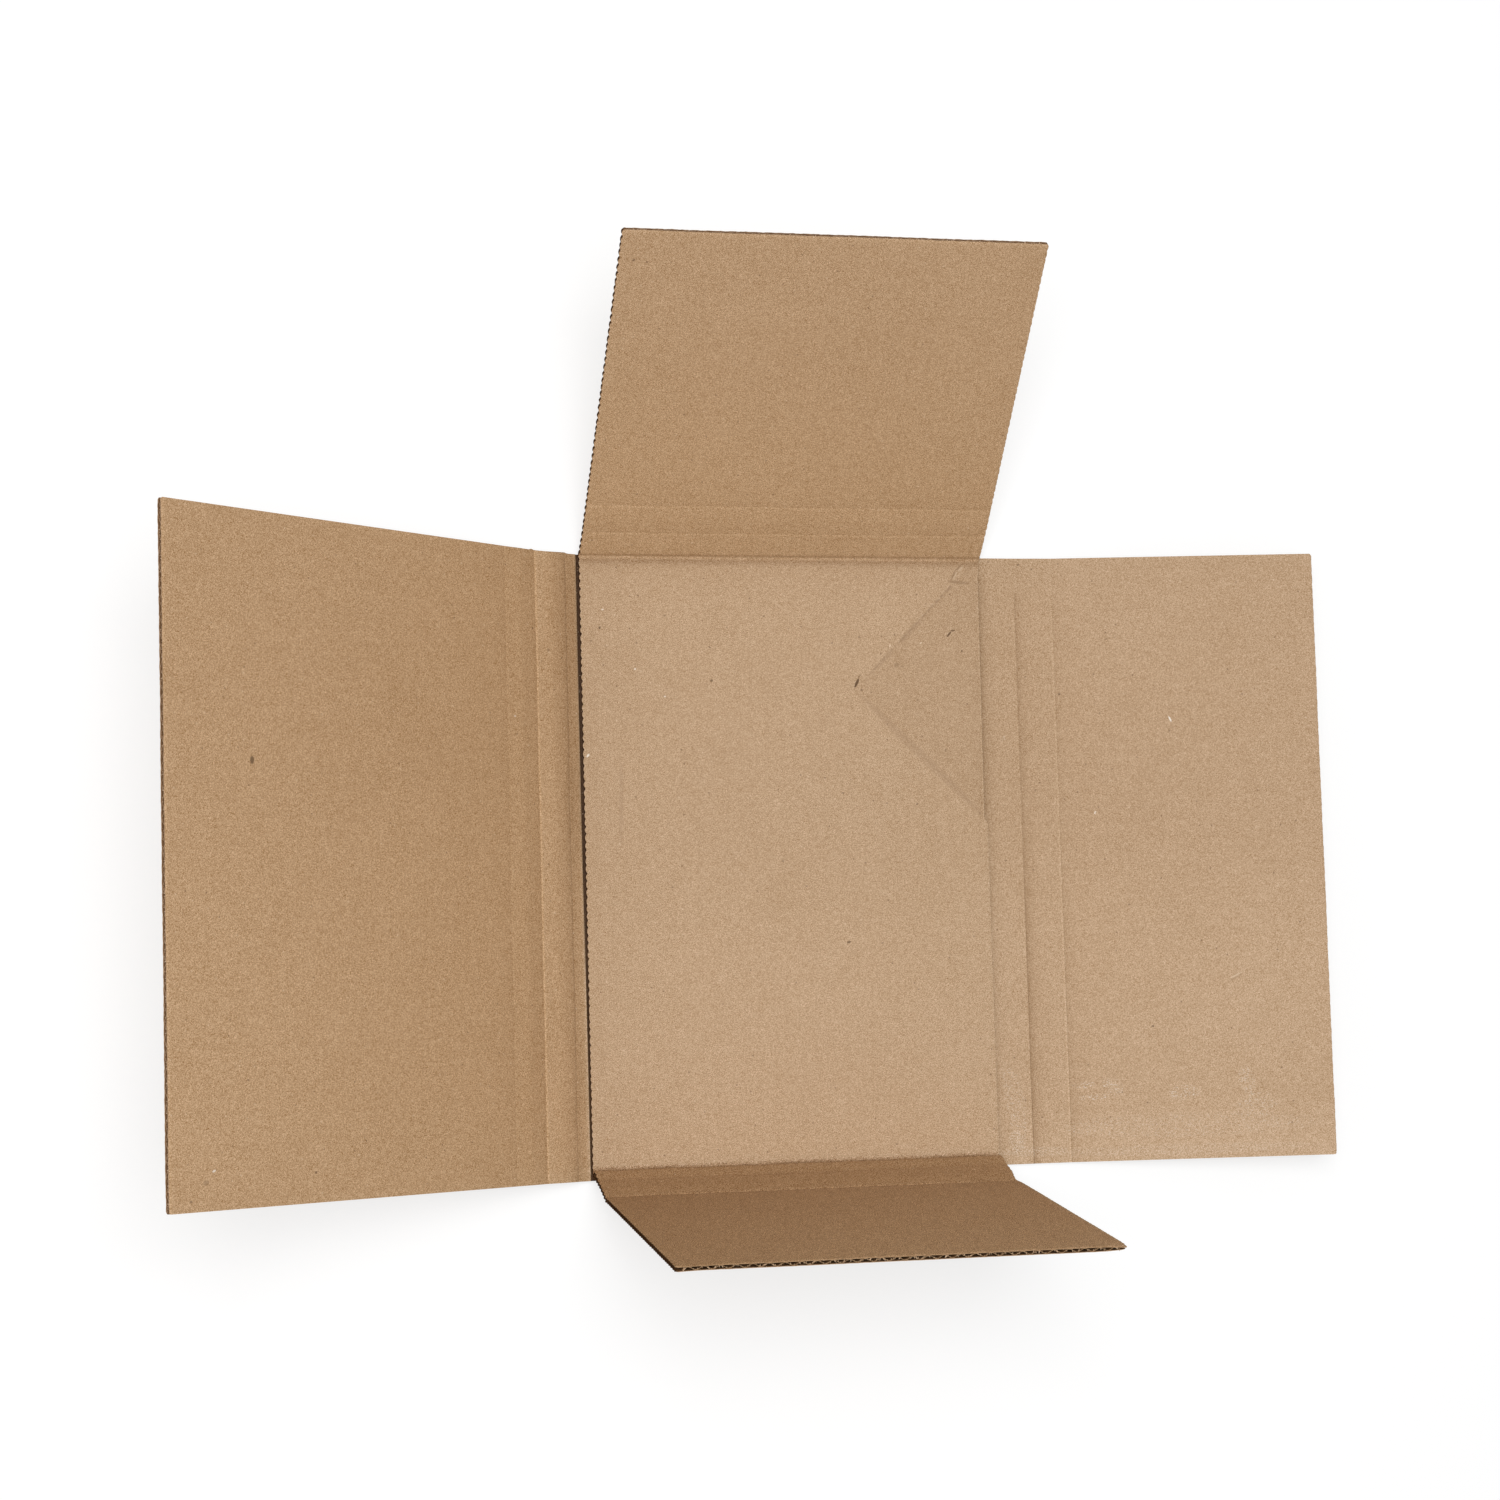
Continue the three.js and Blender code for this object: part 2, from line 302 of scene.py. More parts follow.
def crease_shade_and_highlight(name, number, side, out, across):
    """Painted shade outward of a side's pressed lines, and painted highlight inward of them and on their crests."""
    made = np.ones_like(out)
    for count, (place, line) in enumerate(zip((0.0, side["mark"], side["cuts"][1]), side["lines"])):
        shifted = out - place - line["wander"] * waver(across, 1.7 * number + 0.9 * count, 31)
        step = smooth((shifted + 0.3) / 0.5)
        (dark, dark_reach), (light, light_reach) = line["dark"], line["light"]
        painted_light = light * (1 - step) * np.exp(-np.maximum(-shifted, 0) / light_reach)
        painted_light = painted_light - dark * step * np.exp(-np.maximum(shifted, 0) / dark_reach)
        painted_light = painted_light + line["crest_highlight"] * gauss(shifted + 0.3, 0.35)
        made = made * (1 + painted_light * line_strength(name, count, across))
    return made


def left_painted_shade(out, across):
    """The left side's rolled strip: painted shade towards its fold, painted highlight and shade lines on the roll,
    and a slot beside it that light hardly enters, painted nearly black as shade.
    """
    low = smooth((40 - across) / 90)
    out = out + slot_shift(across)
    # painted shade: the strip darker towards its fold
    strip = 1 - 0.13 * (1 - 0.5 * low) * smooth((20 - out) / 12)
    # the roll: painted shade over it and a painted highlight on its edge at the slot, then thin painted highlight and
    # shade lines
    rolled = 1 - (0.11 - 0.07 * low) * smooth((6.8 - out) / 1.2) + (0.12 + 0.20 * low) * gauss(out - 0.1, 1.7)
    roll_lines = 0.06 * gauss(out - 3.5, 0.4) - 0.05 * gauss(out - 2.6, 0.4) + 0.05 * gauss(out - 1.4, 0.3)
    rolled = rolled + roll_lines * (0.5 + 0.5 * waver(across, 3.9, 17))
    valley = 1 - 0.08 * gauss(out - 6.6, 0.7)
    # painted shade: the slot beside the fold
    slot = 1 - 0.91 * smooth((-0.25 - out) / 0.35)
    return (strip * rolled * valley * slot - 1) * smooth((out + 8) / 1) + 1


def middle_tone_and_painted_shade(along, across):
    """The middle panel: darker towards its left edge, painted shade along its upper and lower creases, lighter towards
    its lower end, darker within the pressed corner, and a painted highlight along its crushed right edge, darker just
    inside it.
    """
    x, y = -across, along
    tip = np.array(CORNER_TIP)
    inside = np.minimum((x - tip[0]) * 0.712 - (y - tip[1]) * 0.703, (x - tip[0]) * 0.699 + (y - tip[1]) * 0.715)
    made = 1 - 0.072 * smooth((inside + 0.8) / 2.0)
    down = np.maximum(143 - y, 0)
    # painted shade along the upper and the lower crease
    made = made * (1 - 0.14 * np.exp(-down / 7) - 0.20 * gauss(down - 1.3, 2.0))
    made = made * (1 - 0.05 * np.exp(-np.maximum(y + 144.5, 0) / 3.0))
    made = made * (0.985 + 0.05 * smooth((20 - y) / 80)) * (1 - 0.10 * np.exp(-(98.5 + x) / 22))
    edge = across + SHEETS["front"]["width"] / 2 - edge_inset("front", along, True)
    crushed = smooth((along - 16) / 2) * smooth((138.5 - along) / 3)
    # painted highlight on the crushed right edge, darker just inside it
    rim = 0.14 * smooth((0.8 - edge) / 0.3) - 0.09 * np.exp(-np.maximum(edge - 0.6, 0) / 1.4)
    return made * (1 + rim * crushed)


def tone_and_painted_shade(sheet, along, across, height, layer):
    """Colour of the paper at a place, as a share of plain kraft: drift, painted shade by side, painted shade and
    highlights along creases, cut edges and the slot, a painted shadow beside the front sheet's right edge, and prints.
    """
    made = np.ones((len(along), 3))
    shade = 1 + 0.008 * np.cos(2 * np.pi * across / PITCH)
    for number, (name, side) in enumerate(SIDES.items()):
        if side["sheet"] != sheet:
            continue
        out = side["sign"] * along - SHEETS[sheet]["creases"][side["sign"]]
        base, end = (np.array(value) for value in SIDE_PAINTED_SHADE[name])
        below = name == "bottom"
        near = side["cuts"][1] if below else 10
        share = smooth((out - near + 3) / (100 if below else side["cuts"][2] - near))[:, None]
        begin = out + 1.5
        if below:
            begin = out + 2.7 + 0.35 * waver(across, 6.6, 11) + 0.22 * waver(across, 2.1, 2.7)
        # painted shade by side
        made = made * (1 + (base + (end - base) * share - 1) * smooth(begin / 3.3)[:, None])
        # painted shade and highlights along the pressed lines
        shade = shade * crease_shade_and_highlight(name, number, side, out, across)
        if name == "left":
            shade = shade * left_painted_shade(out, across) * (1 + 0.05 * (smooth((70 - across) / 140) - 0.5) * (out > 0))
            # the strip between the fold and the score is tinted less orange
            inner_strip_tint = smooth((24.5 - out) / 1) * smooth((out + 1.5) / 3)
            made = made * (1 + inner_strip_tint[:, None] * np.array((0.0, 0.015, 0.05)))
        if name == "bottom":
            # painted light: the bottom side lighter beyond its flap crease; beyond it, it is also darker towards its
            # left end
            shade = shade * (1 + 0.06 * smooth((out - 28.5) / 1.5) - 0.05 * smooth((across - 10) / 80) * (out > 28.5))
        if name == "right":
            beside = np.maximum(along - FRONT_HIGH[0], 0)
            crushed = smooth((across - 16) / 2) * smooth((138.5 - across) / 3)
            shadow = (0.17 + 0.11 * crushed) * np.exp(-beside / 2.1) * (along > 90)
            shade = shade * (1 - shadow * (0.3 + 0.7 * smooth((141 - across) / 4)))
            # painted light: the right side lighter towards its lower end
            shade = shade * (1 + 0.075 * smooth((30 - across) / 90) * smooth((along - 90) / 12))
            low = smooth((-112 - across) / 30) * smooth(out / 12)
            made = made * (1 + low[:, None] * np.array((0.05, 0.06, 0.08)))
    if sheet == "front":
        middle = smooth((143.5 - abs(along)) / 2)
        shade = shade * (1 + (middle_tone_and_painted_shade(along, across) - 1) * middle)
        # painted shade on the lower part of the front sheet's long cut edges, deeper at the left one beside the slot
        for sign, depth in ((1, 0.8), (-1, 0.5)):
            edge = SHEETS[sheet]["width"] / 2 - sign * across - edge_inset(sheet, along, sign < 0)
            shade = shade * np.where((height < -0.1) & (edge < 0.4), 1 - depth, 1.0)
    shade = np.where(layer == 3, TORN_TONE, shade)
    made = np.where(layer[:, None] == 3, 0.5 * (1 + made), made)
    return made * np.maximum(shade, 0.02)[:, None] ** np.array(SHADE_POWERS)


# ---------------------------------------------------------------- folding


def bend_share(distance, height, angle, half):
    """How much of a bend a point takes, so that it follows both panels as the crease moves."""
    reach = np.array([half * (1 + math.cos(angle)), half * math.sin(angle)])
    low, high = np.zeros_like(distance), np.ones_like(distance)
    for _ in range(24):
        share = (low + high) / 2
        turn = share * angle
        out = distance * np.cos(turn) - height * np.sin(turn) + half
        up = distance * np.sin(turn) + height * np.cos(turn)
        less = smooth((out * reach[0] + up * reach[1]) / (reach @ reach)) > share
        low, high = np.where(less, share, low), np.where(less, high, share)
    return (low + high) / 2


def fold(side, out, height):
    """Folds a side's flat points at its base crease, its score and its flap crease."""
    lines = ((0.0, BAND), (side["cuts"][0], SCORE_BAND), (side["cuts"][1], BAND))
    flat = out.copy()
    for (line, half), degrees in reversed(list(zip(lines, side["turns"]))):
        angle = math.radians(degrees)
        share = (flat > line).astype(float)
        close = abs(flat - line) < 2 * half
        share[close] = bend_share(out[close] - line, height[close], angle, half)
        turn = share * angle
        away = out - line
        out, height = (line + away * np.cos(turn) - height * np.sin(turn),
                       away * np.sin(turn) + height * np.cos(turn))
    return out, height


def placed(sheet, along, across, height):
    """From the folded sheet's own directions to the row frame, in metres."""
    facts = SHEETS[sheet]
    if sheet == "back":
        points = (along, across + facts["middle"], facts["face"] + height)
    else:
        points = (-across, along, facts["face"] + height)
    return np.stack(points, axis=-1) * MM


def folded(name, along, across, height):
    """A side's flat points in the row frame; the middle panels stay flat."""
    if name is None:
        return along, across, height
    side = SIDES[name]
    crease = SHEETS[side["sheet"]]["creases"][side["sign"]]
    out, height = fold(side, side["sign"] * along - crease, height)
    return side["sign"] * (crease + out), across, height


# ---------------------------------------------------------------- board: two liners and a fluted medium

FACE_IN, FACE_OUT, FACE_CUT, FACE_WAVE = 0, 1, 2, 3


class Shells:
    """Closed thin shells of one piece, gathered as flat points before they are folded."""

    def __init__(self):
        self.points, self.quads, self.triangles = [], [], []
        self.quad_faces, self.triangle_faces = [], []
        self.count = 0

    def grid(self, stations, across, height, layer):
        """Adds a field of points and gives their numbers, one row a station."""
        along = np.repeat(np.asarray(stations, float)[:, None], across.shape[1], axis=1)
        layers = np.full(along.shape, float(layer))
        self.points.append(np.stack([along, across, height, layers], axis=-1).reshape(-1, 4))
        numbers = np.arange(along.size).reshape(along.shape) + self.count
        self.count += along.size
        return numbers

    def quad(self, a, b, c, d, face, flip):
        made = np.stack([a.ravel(), b.ravel(), c.ravel(), d.ravel()], axis=1)
        self.quads.append(made[:, ::-1] if flip else made)
        self.quad_faces.append(np.full(len(made), face))

    def fill(self, numbers, face, flip):
        self.quad(numbers[:-1, :-1], numbers[1:, :-1], numbers[1:, 1:], numbers[:-1, 1:], face, flip)

    def zip(self, left, left_at, right, right_at, face, flip):
        """Joins two columns of points whose stations differ."""
        if len(left_at) == len(right_at) and np.allclose(left_at, right_at):
            self.quad(left[:-1], left[1:], right[1:], right[:-1], face, flip)
            return
        i = j = 0
        made = []
        while i < len(left) - 1 or j < len(right) - 1:
            step_left = j == len(right) - 1 or (i < len(left) - 1 and left_at[i + 1] <= right_at[j + 1])
            if step_left:
                made.append((left[i], left[i + 1], right[j]))
                i += 1
            else:
                made.append((left[i], right[j + 1], right[j]))
                j += 1
        made = np.array(made)
        self.triangles.append(made[:, ::-1] if flip else made)
        self.triangle_faces.append(np.full(len(made), face))

    def slab(self, upper, lower, faces, layer):
        """A closed shell between two surfaces, each a row of fields with stations of their own."""
        sides = []
        for fields, face, flip in ((upper, faces[0], True), (lower, faces[1], False)):
            rows = [(np.asarray(at, float), self.grid(at, across, height, layer)) for at, across, height in fields]
            for at, numbers in rows:
                self.fill(numbers, face, flip)
            for (at, numbers), (next_at, next_numbers) in zip(rows, rows[1:]):
                self.zip(numbers[:, -1], at, next_numbers[:, 0], next_at, face, flip)
            sides.append(rows)
        over, under = sides
        self.zip(over[0][1][:, 0], over[0][0], under[0][1][:, 0], under[0][0], FACE_CUT, False)
        self.zip(over[-1][1][:, -1], over[-1][0], under[-1][1][:, -1], under[-1][0], FACE_CUT, True)
        for end, flip in ((0, True), (-1, False)):
            top = np.concatenate([numbers[end] for at, numbers in over])
            bottom = np.concatenate([numbers[end] for at, numbers in under])
            self.quad(top[:-1], top[1:], bottom[1:], bottom[:-1], FACE_CUT, flip)


def spaced(values, least):
    """Sorted values with none closer than the least distance, both ends kept."""
    values = np.sort(np.asarray(values, float))
    kept = [values[0]]
    for value in values[1:]:
        if value - kept[-1] >= least:
            kept.append(value)
    if values[-1] - kept[-1] > 1e-9:
        kept[-1] = values[-1]
    return np.array(kept)


def stations_of(sheet, low, high, fine):
    """Where a piece has a row of points: close at its creases, cut ends and prints."""
    close = (0, 0.3, 0.6, 0.95, 1.4, 1.9, 2.6, 3.5, 5, 7, 9.5) if fine else (0, 0.7, 1.5, 2.5, 3.5)
    marks = [low, high, *np.arange(math.ceil(low / PLAIN_STEP) * PLAIN_STEP, high, PLAIN_STEP)]
    for side in SIDES.values():
        if side["sheet"] != sheet:
            continue
        crease = SHEETS[sheet]["creases"][side["sign"]]
        for line in (0, side["mark"], *side["cuts"]):
            for step in close:
                marks += [side["sign"] * (crease + line + step), side["sign"] * (crease + line - step)]
        if side["sign"] < 0 and sheet == "back" and fine:
            marks += [-(crease + 6.3 + step) for step in (-1, -0.5, -0.25, 0, 0.25, 0.5, 1)]
    if sheet == "front" and fine:
        marks += list(np.arange(14, 143, 1.6))
        marks += list(np.arange(-8, 66, 4))
    elif sheet == "front":
        marks += list(np.arange(14, 143, 8)) + [CORNER_TIP[1] + step for step in (-4, -2, 0, 1.5, 3, 5)]
    marks = [mark for mark in marks if low <= mark <= high]
    return spaced(marks + [low, high], 0.24 if fine else 0.5)


def edge_inset(sheet, along, right):
    """How far a long cut edge stands back: ragged teeth, and the crushed stretch beside the print."""
    if not SHEETS[sheet]["serrated"]:
        return np.zeros_like(along)
    beside = smooth((144 - abs(along)) / 2)
    teeth = 1 - abs(np.cos(np.pi * (along + 0.5 * waver(along, 2.2, 21)) / 3.6)) ** (0.6 + (0 if right else 0.3) * beside)
    deep = 0.85 - beside * ((0.27 if right else 0.17) + 0.18 * smooth((20 - along) / 120))
    deep = deep * (1 - (0.65 if right else 0) * (1 - beside))
    inset = deep * (1 + 0.3 * waver(along, 5.0 + right, 9)) * teeth
    inset = inset + (0.09 - 0.05 * beside) * (1 + waver(along, 6.1 + right, 1.7))
    if right:
        crushed = smooth((along - 16) / 2) * smooth((138.5 - along) / 3)
        inset = inset * (1 - 0.8 * crushed) + crushed * (1.75 - 0.75 * (along - 17) / 120)
        out = -along - SHEETS[sheet]["creases"][-1]
        inset = inset + 0.9 * smooth((out - 18) / 9) * smooth((29.3 - out) / 0.9)
    return inset


def hairs(shells, sheet, end, sign, seed):
    """Torn bits of paper along a sheet's free end: short thin prisms on the cut liners and medium."""
    half = SHEETS[sheet]["width"] / 2
    count = int(half * 2 / 0.95)
    for number in range(count):
        spread = waver(number * 1.0, seed, 0.37), waver(number * 1.0, seed + 3, 0.53), waver(number * 1.0, seed + 6, 0.29)
        across = -half + 1.5 + (number + 0.5 * spread[0]) * (2 * half - 3) / count
        wave = -BOARD / 2 - WAVE * math.cos(2 * math.pi * across / PITCH)
        height = (wave, -LINER / 2, wave, wave, LINER / 2 - BOARD)[int(abs(spread[1]) * 11) % 5]
        wide, reach = 0.16 + 0.34 * abs(spread[2]) ** 1.5, 0.12 + 0.55 * min(abs(spread[0]), 1)
        rise = (0.35 + 1.1 * abs(spread[1])) * (1 if height < -BOARD / 2 else -1) * (0.4 if height != wave else 1)
        tall = 0.16
        corners = []
        for lift in (tall, -tall):
            corners += [(-0.35, across - wide, height + lift), (-0.35, across + wide, height + lift),
                        (reach, across + 1.5 * spread[2] * wide, height + rise + 0.6 * lift)]
        points = np.array([(sign * (end + back), beside, up, 3.0) for back, beside, up in corners])
        base = shells.count
        shells.points.append(points)
        shells.count += 6
        order = sign < 0
        triangles = np.array([(base, base + 1, base + 2), (base + 3, base + 5, base + 4)])
        shells.triangles.append(triangles if order else triangles[:, ::-1])
        shells.triangle_faces.append(np.full(2, FACE_CUT))
        quads = np.array([(base, base + 3, base + 4, base + 1), (base + 1, base + 4, base + 5, base + 2),
                          (base + 2, base + 5, base + 3, base)])
        shells.quads.append(quads if order else quads[:, ::-1])
        shells.quad_faces.append(np.full(3, FACE_CUT))


def board(name, side_name, sheet, low, high):
    """A piece of one of the sheets between two stations, as liners and medium."""
    width = SHEETS[sheet]["width"]
    serrated = SHEETS[sheet]["serrated"]
    half = width / 2
    shells = Shells()
    step = PITCH / COLUMNS_A_PITCH
    margin = 4.4 if serrated else 2.9
    count = int((half - margin) / step)
    inner_columns = np.arange(-count, count + 1) * step
    edge_steps = np.array((0, 0.35, 0.8, 1.4, 2.2, 3.2))
    if not serrated:
        edges = np.array((0, 0.3, 0.7, 1.2, 1.9))
        inner_columns = spaced(np.concatenate([inner_columns, half - edges, edges - half]), 0.15)
    fine_rows = stations_of(sheet, low, high, True)
    coarse_rows = stations_of(sheet, low, high, False)
    tooth_rows = spaced(np.concatenate([np.arange(low, high, 0.45), [low, high]]), 0.2)

    def fields(rows, height_of):
        across = np.repeat(inner_columns[None, :], len(rows), axis=0)
        made = [(rows, across, height_of(across))]
        if serrated:
            for sign in (-1, 1):
                right = sign < 0
                inset = edge_inset(sheet, tooth_rows, right)[:, None]
                away = edge_steps[None, :]
                strip = half - away - inset * (1 - away / edge_steps[-1])
                strip = strip[:, ::-1] if sign > 0 else -strip
                field = (tooth_rows, strip, height_of(strip))
                made = made + [field] if sign > 0 else [field] + made
        return made

    def sag(across):
        return WASHBOARD * (0.5 + 0.5 * np.cos(2 * np.pi * across / PITCH))

    def tuck(across):
        return WASHBOARD * (0.5 - 0.5 * np.cos(2 * np.pi * across / PITCH))

    shells.slab(fields(fine_rows, lambda a: -sag(a)), fields(coarse_rows, lambda a: -LINER - sag(a)),
                (FACE_IN, FACE_WAVE), 0)
    shells.slab(fields(coarse_rows, lambda a: LINER - BOARD + tuck(a)), fields(coarse_rows, lambda a: tuck(a) - BOARD),
                (FACE_WAVE, FACE_OUT), 1)

    reach = half - (3.2 if serrated else 0.6)
    steps = int(2 * reach / PITCH * WAVE_COLUMNS_A_PITCH)
    line = np.linspace(-reach, reach, steps + 1)
    wave = -BOARD / 2 - WAVE * np.cos(2 * np.pi * line / PITCH)
    slope = WAVE * 2 * np.pi / PITCH * np.sin(2 * np.pi * line / PITCH)
    scale = MEDIUM / 2 / np.hypot(1, slope)
    rows = coarse_rows
    both = []
    for sign in (1, -1):
        across = np.repeat((line - sign * slope * scale)[None, :], len(rows), axis=0)
        both.append([(rows, across, np.repeat((wave + sign * scale)[None, :], len(rows), axis=0))])
    shells.slab(both[0], both[1], (FACE_WAVE, FACE_WAVE), 2)
    if side_name and max(abs(low), abs(high)) > 200:
        side = SIDES[side_name]
        hairs(shells, sheet, SHEETS[sheet]["creases"][side["sign"]] + side["cuts"][2] - 0.45, side["sign"], 2.0 + low)
    return finish_board(name, side_name, sheet, shells)


def finish_board(name, side_name, sheet, shells):
    """Presses, folds and places the flat shells, and makes the Blender object."""
    flat = np.concatenate(shells.points)
    along, across, height, layer = flat.T.copy()
    facts = SHEETS[sheet]
    inner, outer = relief(sheet, along, across)
    height = -BOARD + outer + (height + BOARD) * (1 - (inner + outer) / BOARD)
    height = height + warp(sheet, along, across)
    tone_and_shade = tone_and_painted_shade(sheet, along, across, flat[:, 2], layer)
    height = height + split_corner(sheet, along, across, layer)
    along, across = soften_ends(sheet, along, across, layer)
    if sheet == "back":
        places = np.stack([along, across + facts["middle"], layer * 40], axis=-1)
    else:
        places = np.stack([-across, along, layer * 40 + facts["fibre_seed"]], axis=-1)
    along, across, height = folded(side_name, along, across, height)
    points = placed(sheet, along, across, height)
    mesh = bpy.data.meshes.new(name)
    quads = np.concatenate(shells.quads)
    triangles = np.concatenate(shells.triangles) if shells.triangles else np.zeros((0, 3), int)
    corners = np.concatenate([quads.ravel(), triangles.ravel()]).astype(np.int32)
    starts = np.concatenate([np.arange(len(quads)) * 4, len(quads) * 4 + np.arange(len(triangles)) * 3])
    slots = np.concatenate(shells.quad_faces + shells.triangle_faces).astype(np.int32)
    mesh.vertices.add(len(points))
    mesh.vertices.foreach_set("co", points.astype(np.float32).ravel())
    mesh.loops.add(len(corners))
    mesh.loops.foreach_set("vertex_index", corners)
    mesh.polygons.add(len(starts))
    mesh.polygons.foreach_set("loop_start", starts.astype(np.int32))
    mesh.update(calc_edges=True)
    mesh.polygons.foreach_set("material_index", slots)
    mesh.polygons.foreach_set("use_smooth", np.ones(len(starts), bool))
    mesh.validate()
    mesh.set_sharp_from_angle(angle=math.radians(38))
    attribute = mesh.attributes.new("sheet", "FLOAT_VECTOR", "POINT")
    attribute.data.foreach_set("vector", places.astype(np.float32).ravel())
    # the per-point tone, which carries painted shade and highlights
    attribute = mesh.attributes.new("tone_and_painted_shade", "FLOAT_COLOR", "POINT")
    attribute.data.foreach_set("color", np.hstack([tone_and_shade, np.ones((len(tone_and_shade), 1))]).astype(np.float32).ravel())
    piece = bpy.data.objects.new(name, mesh)
    bpy.context.scene.collection.objects.link(piece)
    return piece


def split_corner(sheet, along, across, layer):
    """The bottom flap's outer corners are knocked, and the right one is crushed thin."""
    if sheet == "back":
        return 0.0
    end = SHEETS[sheet]["creases"][-1] + SIDES["bottom"]["cuts"][2]
    half = SHEETS[sheet]["width"] / 2
    right = np.hypot(-along - end, (-across - half) * 0.6)
    left = np.hypot(-along - end, (across - half) * 0.6)
    crush = gauss(right, 4.2)
    return np.where(layer == 0, -0.5 * crush, np.where(layer == 1, 0.45 * crush, 0.0)) - 0.25 * gauss(left, 4.0)


def soften_ends(sheet, along, across, layer):
    """Rounds the sheet's own corners a little and makes its cut ends slightly uneven."""
    facts = SHEETS[sheet]
    half = facts["width"] / 2
    for side in SIDES.values():
        if side["sheet"] != sheet:
            continue
        sign = side["sign"]
        end = facts["creases"][sign] + side["cuts"][2]
        for edge in (-1, 1):
            radius = 1.8 if sheet == "front" and sign < 0 else 1.2
            if sheet == "front" and sign < 0 and edge < 0:
                radius = np.where(layer == 0, 1.8, 4.0)
            x = (sign * along - (end - radius)) / radius
            y = (edge * across - (half - radius)) / radius
            near = (x > 0) & (y > 0)
            x, y = np.clip(x, 0, 1), np.clip(y, 0, 1)
            round_x, round_y = x * np.sqrt(1 - y * y / 2), y * np.sqrt(1 - x * x / 2)
            along = np.where(near, sign * (end - radius + radius * round_x), along)
            across = np.where(near, edge * (half - radius + radius * round_y), across)
        ramp = smooth((sign * along - (end - 1.6)) / 1.6)
        rag = 0.12 * waver(across, 2.7 + layer * 1.9, 2.1) + 0.10 * waver(across, 5.9 + layer, 47)
        rag = rag - np.where(layer == 2, 0.16, 0.0) - np.where(layer == 3, 0.31, 0.34)
        along = along + sign * ramp * rag
        if sheet == "back" and sign < 0:
            out = -along - facts["creases"][-1]
            brim = smooth((across - half + 1.4) / 1.4)
            across = across + 0.45 * brim * (gauss(out - 26.4, 1.3) + gauss(out - 6.6, 1.2))
    return along, across


# ---------------------------------------------------------------- materials


class Graph:
    """A material's nodes, with short ways to add the usual ones."""

    def __init__(self, name):
        self.material = bpy.data.materials.new(name)
        self.material.use_nodes = True
        self.tree = self.material.node_tree
        self.tree.nodes.clear()

    def node(self, kind, **settings):
        made = self.tree.nodes.new(kind)
        for key, value in settings.items():
            setattr(made, key, value)
        return made

    def put(self, socket, value):
        if isinstance(value, bpy.types.NodeSocket):
            self.tree.links.new(value, socket)
        elif isinstance(value, tuple):
            socket.default_value = value[:len(socket.default_value)]
        else:
            socket.default_value = value

    def math(self, operation, first, second=0.0, third=0.0, clamp=False):
        made = self.node("ShaderNodeMath", operation=operation, use_clamp=clamp)
        for socket, value in zip(made.inputs, (first, second, third)):
            self.put(socket, value)
        return made.outputs[0]

    def vector(self, operation, first, second=(0, 0, 0)):
        made = self.node("ShaderNodeVectorMath", operation=operation)
        self.put(made.inputs[0], first)
        self.put(made.inputs[1], second)
        return made.outputs["Value" if operation in ("DOT_PRODUCT", "LENGTH", "DISTANCE") else "Vector"]

    def ramp(self, value, low, high, to_low=0.0, to_high=1.0):
        made = self.node("ShaderNodeMapRange", interpolation_type="SMOOTHSTEP")
        for socket, number in zip(made.inputs, (value, low, high, to_low, to_high)):
            self.put(socket, number)
        return made.outputs[0]

    def noise(self, place, scale, detail=2.0, rough=0.5, stretch=None, seed=0.0):
        if stretch:
            place = self.vector("MULTIPLY", place, stretch)
        if seed:
            place = self.vector("ADD", place, (seed, seed * 1.7, seed * 0.3))
        made = self.node("ShaderNodeTexNoise", noise_dimensions="3D")
        self.put(made.inputs["Vector"], place)
        self.put(made.inputs["Scale"], scale)
        self.put(made.inputs["Detail"], detail)
        self.put(made.inputs["Roughness"], rough)
        return made.outputs["Fac"]

    def turned(self, place, degrees):
        made = self.node("ShaderNodeVectorRotate", rotation_type="Z_AXIS")
        self.put(made.inputs["Vector"], place)
        self.put(made.inputs["Angle"], math.radians(degrees))
        return made.outputs[0]

    def cells(self, place, scale, seed=0.0):
        """Distance from the nearest of many scattered spots, and that spot's random number."""
        made = self.node("ShaderNodeTexVoronoi", feature="F1")
        self.put(made.inputs["Vector"], self.vector("ADD", place, (seed, seed * 2.3, seed)))
        self.put(made.inputs["Scale"], scale)
        split = self.node("ShaderNodeSeparateColor")
        self.put(split.inputs[0], made.outputs["Color"])
        return made.outputs["Distance"], split.outputs[0]

    def mix(self, share, first, second, blend="MIX"):
        made = self.node("ShaderNodeMix", data_type="RGBA", blend_type=blend)
        for socket, value in ((made.inputs[0], share), (made.inputs[6], first), (made.inputs[7], second)):
            self.put(socket, value)
        return made.outputs[2]


def scaled(graph, colour, factor):
    made = graph.node("ShaderNodeVectorMath", operation="SCALE")
    graph.put(made.inputs[0], colour)
    graph.put(made.inputs[3], factor)
    return made.outputs[0]


def spot(graph, place, centre, length, width, degrees, soft=0.5):
    """A single elongated mark: 1 at its middle and 0 outside."""
    away = graph.vector("SUBTRACT", place, (centre[0], centre[1], 0))
    turn = math.radians(degrees)
    along = graph.vector("DOT_PRODUCT", away, (math.cos(turn) * 2 / length, math.sin(turn) * 2 / length, 0))
    beside = graph.vector("DOT_PRODUCT", away, (-math.sin(turn) * 2 / width, math.cos(turn) * 2 / width, 0))
    square = graph.math("ADD", graph.math("MULTIPLY", along, along), graph.math("MULTIPLY", beside, beside))
    return graph.ramp(square, 1.0, 1.0 - soft, 0.0, 1.0)


